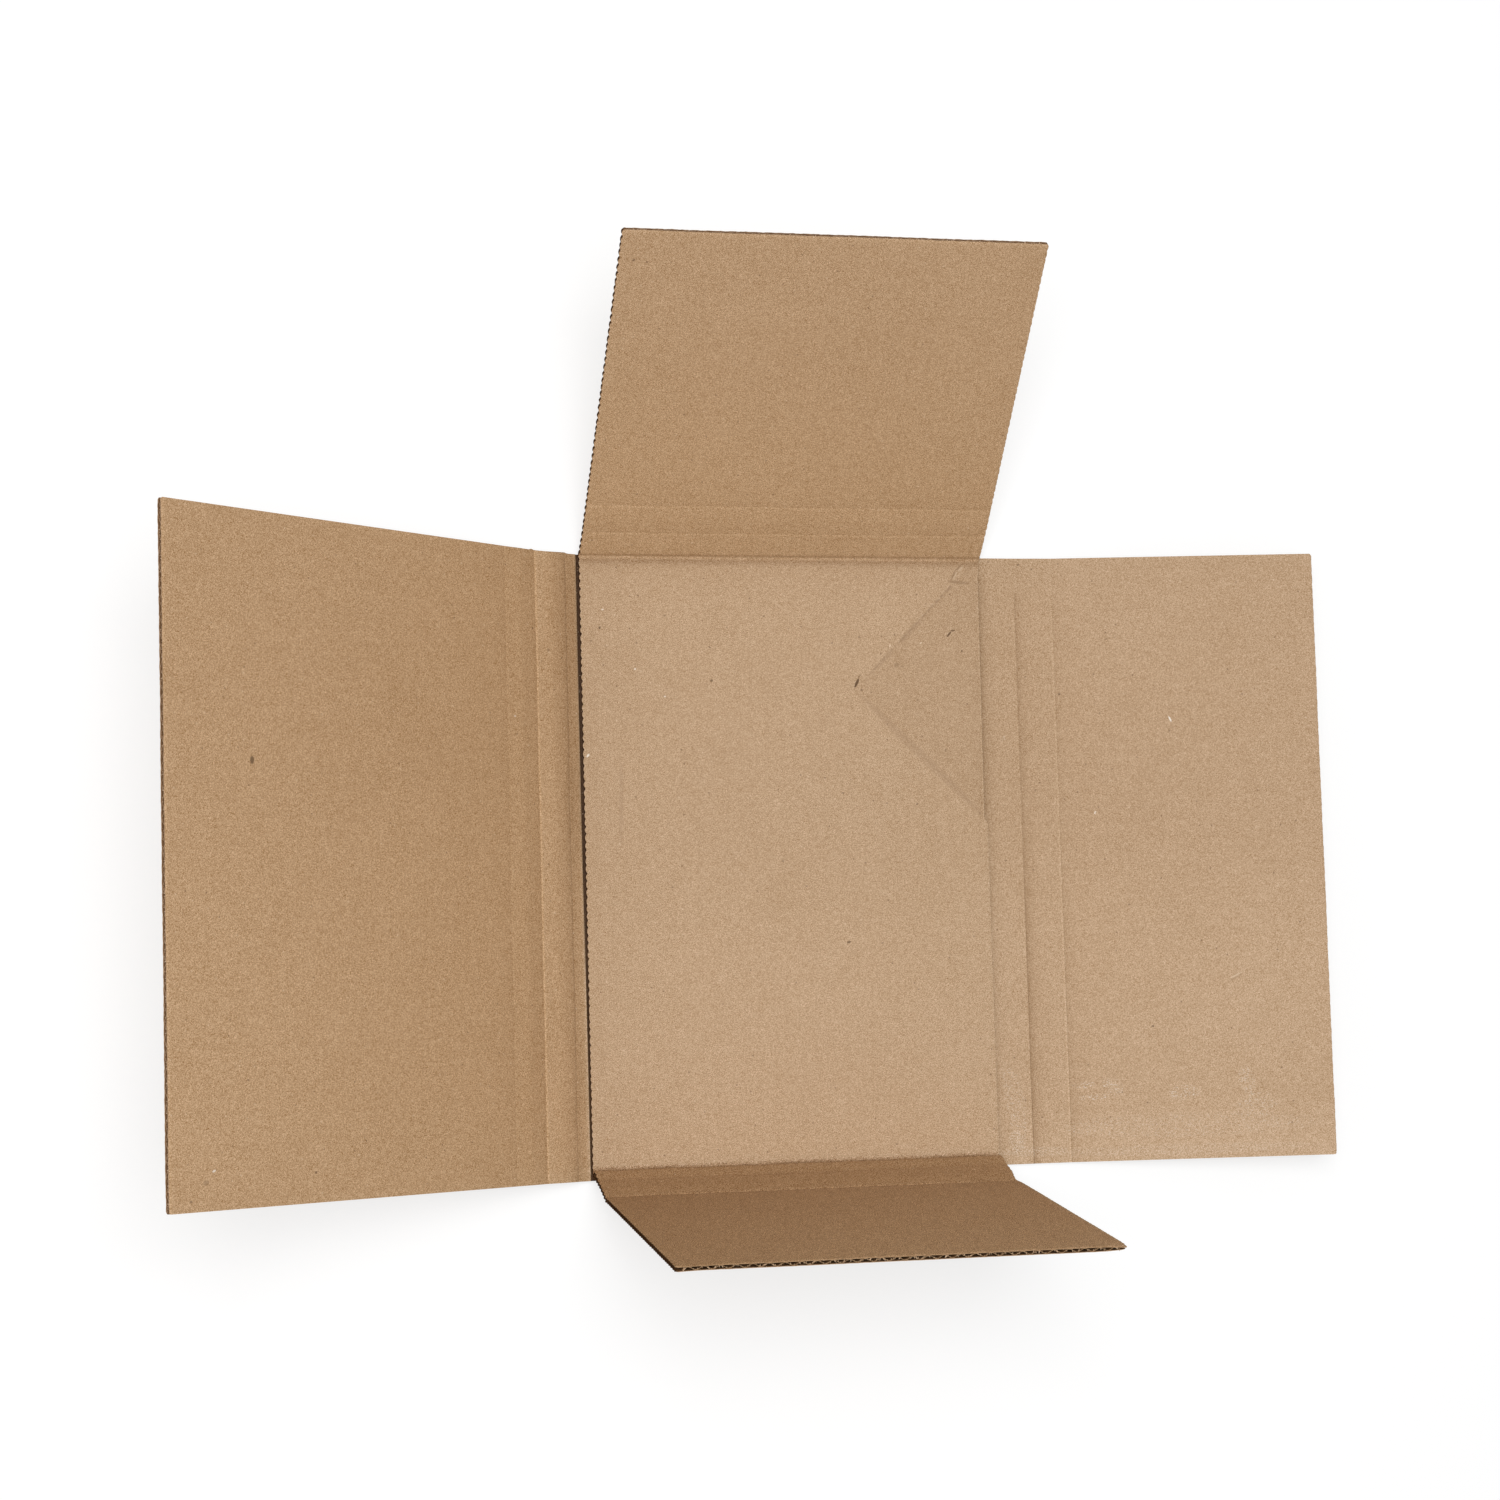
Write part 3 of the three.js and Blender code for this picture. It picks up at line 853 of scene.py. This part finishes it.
def kraft(name, base, marks=(), seed=0.0, rough=1.0):
    """Unbleached kraft liner: fine grain, fibres, specks and flecks, and the single marks of a sheet."""
    graph = Graph(name)
    place = graph.node("ShaderNodeAttribute", attribute_name="sheet").outputs["Vector"]
    tone_and_shade = graph.node("ShaderNodeAttribute", attribute_name="tone_and_painted_shade").outputs["Color"]
    cloud = graph.noise(place, 0.012, 2.0, 0.5, seed=seed + 11)
    patch = graph.noise(place, 0.09, 2.0, 0.6, seed=seed + 23)
    mottle = graph.noise(place, 0.42, 3.0, 0.62, seed=seed + 5)
    grain = graph.noise(place, 1.6, 1.0, 0.6, seed=seed + 31)
    dust = graph.noise(place, 3.3, 0.0, 0.5, seed=seed + 37)
    strand_a = graph.noise(graph.turned(place, 24), 1.0, 1.0, 0.6, stretch=(0.55, 4.6, 1), seed=seed + 3)
    strand_b = graph.noise(graph.turned(place, -51), 1.0, 1.0, 0.6, stretch=(0.6, 5.0, 1), seed=seed + 7)
    strand_c = graph.noise(graph.turned(place, 88), 1.0, 1.0, 0.6, stretch=(0.5, 4.4, 1), seed=seed + 13)
    light_strand = graph.math("MAXIMUM", graph.ramp(strand_a, 0.58, 0.74), graph.ramp(strand_b, 0.60, 0.76))
    dark_strand = graph.math("MAXIMUM", graph.ramp(strand_c, 0.60, 0.78), graph.ramp(strand_b, 0.38, 0.24))

    change = graph.math("MULTIPLY", graph.math("SUBTRACT", cloud, 0.5), 0.08)
    for value, amount in ((patch, 0.11), (mottle, 0.28 * rough), (grain, 1.10 * rough), (dust, 2.2 * rough)):
        change = graph.math("MULTIPLY_ADD", graph.math("SUBTRACT", value, 0.5), amount, change)
    change = graph.math("MULTIPLY_ADD", light_strand, 0.20 * rough, change)
    change = graph.math("MULTIPLY_ADD", dark_strand, -0.22 * rough, change)
    factor = graph.vector("ADD", scaled(graph, (0.88, 1.12, 1.55), change), (1, 1, 1))
    colour = graph.vector("MULTIPLY", base, factor)
    # times the per-point tone, which carries painted shade and highlights
    colour = graph.mix(1.0, colour, tone_and_shade, "MULTIPLY")

    flecks = (
        (0.17, 2.0, 0.10, 0.03, 0.55, 0.75, (0.17, 0.095, 0.045, 1)),
        (0.36, 6.0, 0.13, 0.05, 0.62, 0.50, (0.22, 0.13, 0.065, 1)),
        (0.62, 4.0, 0.17, 0.06, 0.50, 0.40, (0.25, 0.15, 0.08, 1)),
        (0.24, 9.0, 0.12, 0.04, 0.60, 0.45, (0.80, 0.64, 0.47, 1)),
        (0.55, 15.0, 0.17, 0.06, 0.66, 0.40, (0.74, 0.57, 0.40, 1)),
    )
    for scale, shift, wide, narrow, share, strength, shade in flecks:
        distance, chance = graph.cells(place, scale, seed + shift)
        mask = graph.math("MULTIPLY", graph.ramp(distance, wide, narrow), graph.ramp(chance, share, share + 0.02))
        colour = graph.mix(graph.math("MULTIPLY", mask, strength), colour, shade)

    height = graph.math("MULTIPLY_ADD", grain, 0.5, graph.math("MULTIPLY", mottle, 0.6))
    height = graph.math("MULTIPLY_ADD", light_strand, 0.25, height)
    streaks = graph.noise(place, 1.0, 1.0, 0.5, stretch=(1.1, 2.6, 1), seed=seed + 41)
    gaps = {"fine": graph.ramp(grain, 0.50, 0.64), "specks": graph.ramp(streaks, 0.60, 0.68), "coarse": graph.ramp(mottle, 0.46, 0.58),
            "wide": graph.ramp(patch, 0.42, 0.58)}
    for centre, length, width, degrees, shade, strength, press, broken in marks:
        mask = spot(graph, place, centre, length, width, degrees)
        if broken:
            mask = graph.math("MULTIPLY", mask, gaps[broken])
        colour = graph.mix(graph.math("MULTIPLY", mask, strength), colour, (*shade, 1))
        if press:
            height = graph.math("MULTIPLY_ADD", mask, press, height)

    shader = graph.node("ShaderNodeBsdfPrincipled")
    graph.put(shader.inputs["Base Color"], colour)
    graph.put(shader.inputs["Roughness"], graph.math("MULTIPLY_ADD", mottle, 0.22, 0.60))
    graph.put(shader.inputs["Specular IOR Level"], 0.3)
    bump = graph.node("ShaderNodeBump")
    graph.put(bump.inputs["Strength"], 0.35)
    graph.put(bump.inputs["Distance"], 0.00008)
    graph.put(bump.inputs["Height"], height)
    graph.put(shader.inputs["Normal"], bump.outputs[0])
    output = graph.node("ShaderNodeOutputMaterial")
    graph.put(output.inputs[0], shader.outputs[0])
    return graph.material


def cut_kraft(name, base):
    """The cut edges of the liners and the bare medium: rougher and more fibrous."""
    graph = Graph(name)
    place = graph.node("ShaderNodeAttribute", attribute_name="sheet").outputs["Vector"]
    tone_and_shade = graph.node("ShaderNodeAttribute", attribute_name="tone_and_painted_shade").outputs["Color"]
    mottle = graph.noise(place, 0.5, 3.0, 0.6, seed=3)
    grain = graph.noise(place, 3.0, 3.0, 0.75, seed=8)
    factor = graph.math("MULTIPLY_ADD", graph.math("SUBTRACT", mottle, 0.5), 0.4, 1.0)
    factor = graph.math("MULTIPLY_ADD", graph.math("SUBTRACT", grain, 0.5), 0.5, factor)
    # times the per-point tone, which carries painted shade
    colour = graph.mix(1.0, scaled(graph, base, factor), tone_and_shade, "MULTIPLY")
    shader = graph.node("ShaderNodeBsdfPrincipled")
    graph.put(shader.inputs["Base Color"], colour)
    graph.put(shader.inputs["Roughness"], graph.math("MULTIPLY_ADD", mottle, 0.15, 0.8))
    graph.put(shader.inputs["Specular IOR Level"], 0.1)
    bump = graph.node("ShaderNodeBump")
    graph.put(bump.inputs["Strength"], 0.6)
    graph.put(bump.inputs["Distance"], 0.00012)
    graph.put(bump.inputs["Height"], grain)
    graph.put(shader.inputs["Normal"], bump.outputs[0])
    output = graph.node("ShaderNodeOutputMaterial")
    graph.put(output.inputs[0], shader.outputs[0])
    return graph.material


KRAFT = (0.499, 0.335, 0.200, 1)
DARK = (0.13, 0.07, 0.032)
BROWN = (0.27, 0.165, 0.085)
# SHADE is for soft dark lines along pressed lines, partly painted shade
SHADE = (0.36, 0.23, 0.135)
# LIGHT is pale paper in single specks, and a painted highlight where it lies beside a darker mark
LIGHT = (0.76, 0.60, 0.43)
WHITE = (0.86, 0.78, 0.68)

# Single marks: place on the sheet, length, width, direction, colour, strength, height and what breaks them up.
MIDDLE_MARKS = (
    # The pressed corner's two edges: brown scratches, soft dark lines that are partly painted shade, and a light line
    # beside the upper one, partly painted highlight
    ((66.2, 48.7), 93, 5.0, -44.3, SHADE, 0.26, -0.5, None),
    ((66.0, 49.1), 90, 1.4, -44.3, BROWN, 0.20, -0.6, "coarse"),
    ((65.2, 111.6), 90, 1.1, 45.3, BROWN, 0.55, -1.0, "coarse"),
    ((66.0, 113.2), 80, 0.8, 46.0, LIGHT, 0.50, 0.8, "specks"),
    ((62.0, 108.0), 70, 3.4, 45.3, SHADE, 0.35, -0.4, "wide"),
    ((80.5, 127.0), 30, 1.8, 45.3, SHADE, 0.5, -0.6, "coarse"),
    ((35.1, 83.4), 5.4, 1.5, 65, DARK, 0.95, -3.0, None),
    ((36.4, 86.6), 2.6, 0.8, 40, BROWN, 0.8, -1.0, None),
    ((37.5, 80.1), 1.3, 1.1, 0, DARK, 0.6, 0, None),
    ((82.0, 107.0), 3.8, 1.1, 48, DARK, 0.9, 0, None),
    ((84.0, 108.8), 2.6, 0.9, 8, DARK, 0.8, 0, None),
    # The small dent at the upper right corner: brown strokes with light ones beside them, partly painted shade and
    # painted highlight
    ((87.6, 132.2), 13, 1.8, -4, BROWN, 0.50, -1.0, None),
    ((85.0, 135.6), 6.4, 1.0, 64, BROWN, 0.6, -1.0, None),
    ((86.0, 135.4), 5.4, 0.8, 64, LIGHT, 0.35, 0.6, None),
    ((87.9, 139.4), 5.2, 1.0, 43, BROWN, 0.6, -1.0, None),
    ((88.9, 138.8), 4.6, 0.8, 43, LIGHT, 0.35, 0.6, None),
    ((91.0, 141.6), 4.4, 1.0, 27, BROWN, 0.5, -1.0, None),
    ((27.3, -39.8), 2.2, 1.3, 20, DARK, 0.75, 0, None),
    ((23.4, 102.6), 1.2, 0.9, 60, DARK, 0.6, 0, None),
    ((36.9, 105.5), 1.1, 0.9, 10, DARK, 0.6, 0, None),
    ((55.3, 92.1), 3.0, 2.2, 30, BROWN, 0.5, 0, None),
    ((58.0, 91.4), 2.0, 0.7, 10, BROWN, 0.6, 0, None),
    ((88.2, 98.9), 1.4, 1.0, 80, DARK, 0.7, 0, None),
    ((26.6, 30.9), 1.2, 0.9, 0, DARK, 0.65, 0, None),
    ((63.1, 25.3), 1.4, 0.9, 45, DARK, 0.6, 0, None),
    ((-3.8, -1.0), 1.2, 0.9, 0, DARK, 0.6, 0, None),
    ((-89.3, 109.5), 1.5, 1.1, 70, DARK, 0.85, 0, None),
    ((-71.8, 102.4), 1.2, 0.8, 0, DARK, 0.55, 0, None),
    ((-57.9, 115.4), 1.3, 1.2, 0, BROWN, 0.75, 0, None),
    ((-36.6, 100.5), 1.4, 0.8, -20, DARK, 0.7, 0, None),
    ((-36.1, 84.6), 1.6, 1.2, 0, DARK, 0.8, 0, None),
    ((-70.5, 124.8), 1.2, 0.7, 0, DARK, 0.6, 0, None),
    ((-87.7, 118.1), 1.3, 0.9, 0, WHITE, 0.6, 0, None),
    ((-72.8, 90.1), 1.3, 0.9, 40, WHITE, 0.7, 0, None),
    ((-58.8, 77.1), 1.3, 0.9, 0, WHITE, 0.6, 0, None),
    ((-96.2, 49.5), 2.2, 1.1, 50, WHITE, 0.8, 0, None),
    ((67.7, 102.7), 1.8, 0.7, 30, LIGHT, 0.8, 0, None),
    ((52.1, 101.2), 1.6, 0.7, 60, LIGHT, 0.8, 0, None),
    # A pressed line on the left of the middle panel, with painted shade along it
    ((-81.0, 28.0), 66, 2.0, 88.2, SHADE, 0.30, -0.6, "wide"),
    ((-80.0, 27.0), 60, 1.0, 88.2, SHADE, 0.30, -0.6, "coarse"),
)
TOP_MARKS = (
    ((-91.6, 299.8), 1.6, 1.2, 30, DARK, 0.7, 0, None),
    ((-85.5, 299.0), 1.3, 1.0, 0, DARK, 0.6, 0, None),
)
LEFT_WALL_MARKS = (
    ((-117.8, 98.2), 1.8, 1.6, 0, BROWN, 0.7, 0, None),
    ((-126.8, 107.8), 1.3, 1.0, 90, DARK, 0.7, 0, None),
    ((-139.0, 58.0), 2.0, 1.6, 0, BROWN, 0.4, 0, None),
    ((-140.0, 66.2), 1.3, 0.9, 0, WHITE, 0.5, 0, None),
)
LEFT_MARKS = (
    ((-156.5, 66.8), 1.4, 0.9, 0, BROWN, 0.7, 0, None),
    ((-300.6, 38.4), 3.9, 2.5, 84, DARK, 0.80, 0, None),
    ((-268.0, -134.5), 1.6, 1.3, 0, DARK, 0.7, 0, None),
    ((-305.3, -94.6), 1.3, 1.0, 0, DARK, 0.6, 0, None),
    ((-328.8, -135.6), 3.6, 2.4, 0, BROWN, 0.5, 0, None),
    ((-336.9, -142.8), 1.6, 1.2, 0, DARK, 0.6, 0, None),
    ((-324.4, -131.0), 2.2, 1.1, 20, WHITE, 0.7, 0, None),
)
RIGHT_WALL_MARKS = (
    ((108.3, 56.5), 4.0, 2.2, 30, WHITE, 0.4, 0, "fine"),
    ((106.8, -124.3), 3.0, 1.4, 30, WHITE, 0.55, 0, "fine"),
    ((119.0, 141.3), 1.6, 1.0, 0, DARK, 0.6, 0, None),
    ((123.8, 31.6), 1.5, 1.1, 70, BROWN, 0.7, 0, None),
    ((108.0, -118.0), 12, 44, 10, WHITE, 0.38, 0, "specks"),
    ((108.3, -136.6), 9, 12, 10, WHITE, 0.30, 0, "fine"),
    ((118.0, -141.5), 44, 5, 0, WHITE, 0.24, 0, "fine"),
)
RIGHT_MARKS = (
    ((191.0, 64.8), 3.4, 0.9, -64, WHITE, 0.95, 1.0, None),
    ((176.9, -83.4), 1.5, 1.1, 0, DARK, 0.7, 0, None),
    ((137.4, 78.1), 1.4, 1.1, 0, DARK, 0.7, 0, None),
    ((161.2, 104.5), 2.2, 0.7, 30, BROWN, 0.7, 0, None),
    ((152.7, 20.2), 2.0, 0.9, 60, WHITE, 0.6, 0, None),
    ((142.5, -110.6), 12, 3.6, 4, WHITE, 0.85, 0, "specks"),
    ((146.5, -116.5), 17, 3.2, 2, WHITE, 0.85, 0, "specks"),
    ((156.4, -112.0), 12, 9, -20, WHITE, 0.60, 0, "specks"),
    ((191.2, -115.4), 18, 8, 5, WHITE, 0.60, 0, "specks"),
    ((221.5, -111.0), 9, 16, 12, WHITE, 0.55, 0, "specks"),
    ((226.0, -122.0), 24, 12, 12, WHITE, 0.45, 0, "specks"),
    ((190.0, -142.5), 140, 6, 0, WHITE, 0.16, 0, "fine"),
    ((190.0, -131.0), 150, 13, 0, WHITE, 0.30, 0, "specks"),
    # A small ridge on the right flap: a painted highlight on one side and painted shade on the other
    ((218.3, -60.0), 7.5, 0.8, 25, LIGHT, 0.5, 0.8, None),
    ((218.3, -61.0), 7.0, 0.8, 25, SHADE, 0.5, -0.6, None),
)

INSIDES = {
    "back": kraft("kraft_liner_back_sheet", KRAFT, seed=0.0),
    "front": kraft("kraft_liner_front_sheet", KRAFT, seed=60.0),
    "front_board": kraft("kraft_liner_middle_panel", (0.502, 0.339, 0.205, 1), MIDDLE_MARKS, seed=60.0, rough=0.85),
    "top_wall_board": kraft("kraft_liner_top_wall", KRAFT, seed=60.0, rough=1.0),
    "top_flap_board": kraft("kraft_liner_top_flap", KRAFT, TOP_MARKS, seed=60.0, rough=1.0),
    "bottom_wall_board": kraft("kraft_liner_bottom_wall", KRAFT, seed=60.0, rough=1.5),
    "bottom_flap_board": kraft("kraft_liner_bottom_flap", KRAFT, seed=60.0, rough=1.9),
    "left_wall_board": kraft("kraft_liner_left_wall", KRAFT, LEFT_WALL_MARKS, seed=0.0, rough=0.75),
    "left_flap_board": kraft("kraft_liner_left_flap", KRAFT, LEFT_MARKS, seed=0.0, rough=0.74),
    "right_wall_board": kraft("kraft_liner_right_wall", KRAFT, RIGHT_WALL_MARKS, seed=0.0, rough=0.64),
    "right_flap_board": kraft("kraft_liner_right_flap", KRAFT, RIGHT_MARKS, seed=0.0, rough=0.60),
}
OUTSIDE = kraft("kraft_liner_outside", (0.475, 0.315, 0.186, 1), seed=140.0)
CUT = cut_kraft("kraft_cut_edges", (0.52, 0.36, 0.235, 1))
# The fluted medium and the liners' inner faces: the medium's own darker colour, made darker still as painted shade
# inside the board
INSIDE_TONE_AND_PAINTED_SHADE = cut_kraft("kraft_inside_tone_and_painted_shade", (0.24, 0.14, 0.075, 1))

# ---------------------------------------------------------------- pieces


def span(sheet, sign, start, end):
    """A stretch of a side, from the sheet's middle outward, as low and high stations."""
    crease = SHEETS[sheet]["creases"][sign]
    ends = sign * (crease + start), sign * (crease + end)
    return min(ends), max(ends)


def crease_point(name, out):
    """A point of the inner face of a side, on its middle line, in the row frame."""
    side = SIDES[name]
    crease = SHEETS[side["sheet"]]["creases"][side["sign"]]
    flat = side["sign"] * (crease + np.array([out], float))
    return tuple(placed(side["sheet"], *folded(name, flat, np.zeros(1), np.zeros(1)))[0])


def dress(piece, node, sheet):
    for material in (INSIDES.get(piece.name, INSIDES[sheet]), OUTSIDE, CUT, INSIDE_TONE_AND_PAINTED_SHADE):
        piece.data.materials.append(material)
    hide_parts(node)


for sheet in ("back", "front"):
    creases = SHEETS[sheet]["creases"]
    middle = board(sheet + "_board", None, sheet, BAND - creases[-1], creases[1] - BAND)
    dress(middle, sheet + "_panel", sheet)
    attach(middle, "middle")

for name, side in SIDES.items():
    sheet, sign = side["sheet"], side["sign"]
    depth = side["cuts"][1]
    wall = board(name + "_wall_board", name, sheet, *span(sheet, sign, -BAND, depth - BAND))
    flap = board(name + "_flap_board", name, sheet, *span(sheet, sign, depth - BAND, side["cuts"][2]))
    dress(wall, name + "_wall", sheet)
    dress(flap, name + "_flap", sheet)
    crease_point(name, -BAND)
    crease_point(name, BAND)
    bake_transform(wall)
    crease_point(name, depth - BAND)
    crease_point(name, depth + BAND)
    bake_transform(flap)

# ---------------------------------------------------------------- camera, floor and light

CAMERA_AT = Vector((-0.3865, -0.0790, 1.4634))
CAMERA_RIGHT = Vector((0.96979, -0.02767, 0.24238)).normalized()
CAMERA_AHEAD = Vector((0.24389, 0.08655, -0.96593)).normalized()

camera = bpy.data.objects.new("camera", bpy.data.cameras.new("camera"))
camera.data.sensor_width = 36
camera.data.lens = 76.8
camera.data.clip_start = 0.05
camera.data.clip_end = 50
up = CAMERA_RIGHT.cross(CAMERA_AHEAD).normalized()
camera.matrix_world = Matrix.Translation(CAMERA_AT) @ Matrix((CAMERA_RIGHT, up, -CAMERA_AHEAD)).transposed().to_4x4()
bpy.context.scene.collection.objects.link(camera)
bpy.context.scene.camera = camera


def white_for_the_camera(graph, plain, shown):
    """One shader for light that bounces, another for what the camera sees directly or in gloss."""
    path = graph.node("ShaderNodeLightPath")
    seen = graph.math("MAXIMUM", path.outputs["Is Camera Ray"], path.outputs["Is Glossy Ray"])
    seen = graph.math("MAXIMUM", seen, path.outputs["Is Transmission Ray"])
    mixed = graph.node("ShaderNodeMixShader")
    graph.put(mixed.inputs[0], seen)
    graph.put(mixed.inputs[1], plain.outputs[0])
    graph.put(mixed.inputs[2], shown.outputs[0])
    return mixed


floor_graph = Graph("floor")
floor_plain = floor_graph.node("ShaderNodeBsdfDiffuse")
floor_plain.inputs["Color"].default_value = (0.78, 0.78, 0.78, 1)
floor_white = floor_graph.node("ShaderNodeBsdfDiffuse")
floor_white.inputs["Color"].default_value = (0.36, 0.36, 0.36, 1)
floor_glow = floor_graph.node("ShaderNodeEmission")
floor_glow.inputs["Strength"].default_value = 0.67
floor_shown = floor_graph.node("ShaderNodeAddShader")
floor_graph.put(floor_shown.inputs[0], floor_white.outputs[0])
floor_graph.put(floor_shown.inputs[1], floor_glow.outputs[0])
floor_mixed = white_for_the_camera(floor_graph, floor_plain, floor_shown)
floor_graph.put(floor_graph.node("ShaderNodeOutputMaterial").inputs[0], floor_mixed.outputs[0])

floor_mesh = bpy.data.meshes.new("floor")
floor_mesh.from_pydata([(-6, -6, 0), (6, -6, 0), (6, 6, 0), (-6, 6, 0)], [], [(0, 1, 2, 3)])
floor_mesh.materials.append(floor_graph.material)
floor = bpy.data.objects.new("floor", floor_mesh)
floor.location = (0, 0, -0.0002)
bpy.context.scene.collection.objects.link(floor)

world = bpy.data.worlds.new("studio")
bpy.context.scene.world = world
world.use_nodes = True
sky = world.node_tree
sky.nodes.clear()
sky_light = sky.nodes.new("ShaderNodeBackground")
sky_light.inputs["Color"].default_value = (1, 1, 1, 1)
sky_light.inputs["Strength"].default_value = 0.36
sky_white = sky.nodes.new("ShaderNodeBackground")
sky_white.inputs["Color"].default_value = (1, 1, 1, 1)
sky_white.inputs["Strength"].default_value = 1.0
sky_path = sky.nodes.new("ShaderNodeLightPath")
sky_mix = sky.nodes.new("ShaderNodeMixShader")
sky.links.new(sky_path.outputs["Is Camera Ray"], sky_mix.inputs[0])
sky.links.new(sky_light.outputs[0], sky_mix.inputs[1])
sky.links.new(sky_white.outputs[0], sky_mix.inputs[2])
sky.links.new(sky_mix.outputs[0], sky.nodes.new("ShaderNodeOutputWorld").inputs[0])

key_data = bpy.data.lights.new("key", "AREA")
key_data.shape = "SQUARE"
key_data.size = 1.3
key_data.energy = 43
key = bpy.data.objects.new("key", key_data)
key.location = (-0.44, 0.20, 2.42)
key.rotation_euler = (Vector((0, 0, 0.03)) - key.location).to_track_quat("-Z", "Y").to_euler()
bpy.context.scene.collection.objects.link(key)

bpy.context.scene.view_settings.view_transform = "Standard"
